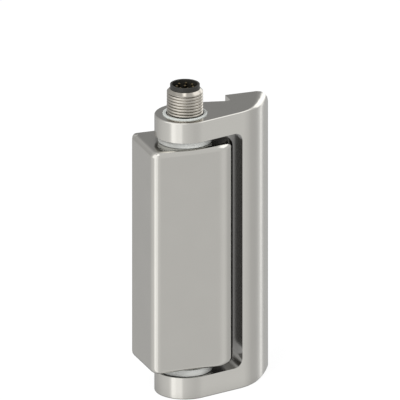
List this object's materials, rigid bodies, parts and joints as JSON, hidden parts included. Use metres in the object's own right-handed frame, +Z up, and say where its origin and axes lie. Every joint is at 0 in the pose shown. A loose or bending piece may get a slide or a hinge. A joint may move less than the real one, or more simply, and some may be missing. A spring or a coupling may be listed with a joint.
{
  "type": "safety hinge switch",
  "caption": "Steel safety hinge switch: a fixed housing with a round plug connector on the hinge axis and a C-shaped door leaf that swings about it.",
  "frame": {"origin": "on the hinge axis, at the underside of the door leaf's lower ear", "axes": "+Z up along the hinge axis to the plug connector, +Y to the mounting plane at the rear, +X from the hinge axis to the door leaf's upright with the hinge closed"},
  "size_m": [0.0479, 0.0219, 0.1062],
  "materials": {
    "housing_steel": "satin, fine blasted",
    "leaf_steel": "satin, fine blasted",
    "washer": "smooth pale grey",
    "sliding_coat": "pale grey sliding coat on steel",
    "turned_steel": "fine turned",
    "nickel": "nickel plated",
    "bronze": "sintered",
    "carrier_plastic": "fine matt",
    "gold": "gold plated",
    "seal_rubber": "matt",
    "wire_plastic": "smooth",
    "board_green": "solder mask",
    "chip_black": "moulded"
  },
  "bodies": {
    "fixed_leaf": {"housing": "housing_steel", "rear_cover": "housing_steel", "cover_gasket": "seal_rubber", "cover_screws": "turned_steel", "pivot_sleeve": "sliding_coat", "upper_thrust_washer": "washer", "lower_thrust_washer": "washer", "lower_bearing_bush": "bronze", "shaft_seal": "seal_rubber", "connector_shell": "nickel", "connector_seal": "seal_rubber", "contact_carrier": "carrier_plastic", "contact_pins": "gold", "contact_wires": "wire_plastic", "wire_plug": "wire_plastic", "circuit_board": "board_green", "board_components": "chip_black", "sensor_board": "board_green", "angle_sensor": "chip_black"},
    "door_leaf": {"yoke": "leaf_steel", "upper_ear_bush": "bronze", "lower_pivot_pin": "turned_steel", "pin_grub_screw": "nickel", "magnet_holder": "wire_plastic", "sensor_magnet": "nickel"}
  },
  "joints": [
    {"name": "hinge", "type": "hinge", "parent": "fixed_leaf", "child": "door_leaf", "pos_m": [0, 0, 0.048], "axis": [0, 0, -1], "range_deg": [0, 180]}
  ]
}
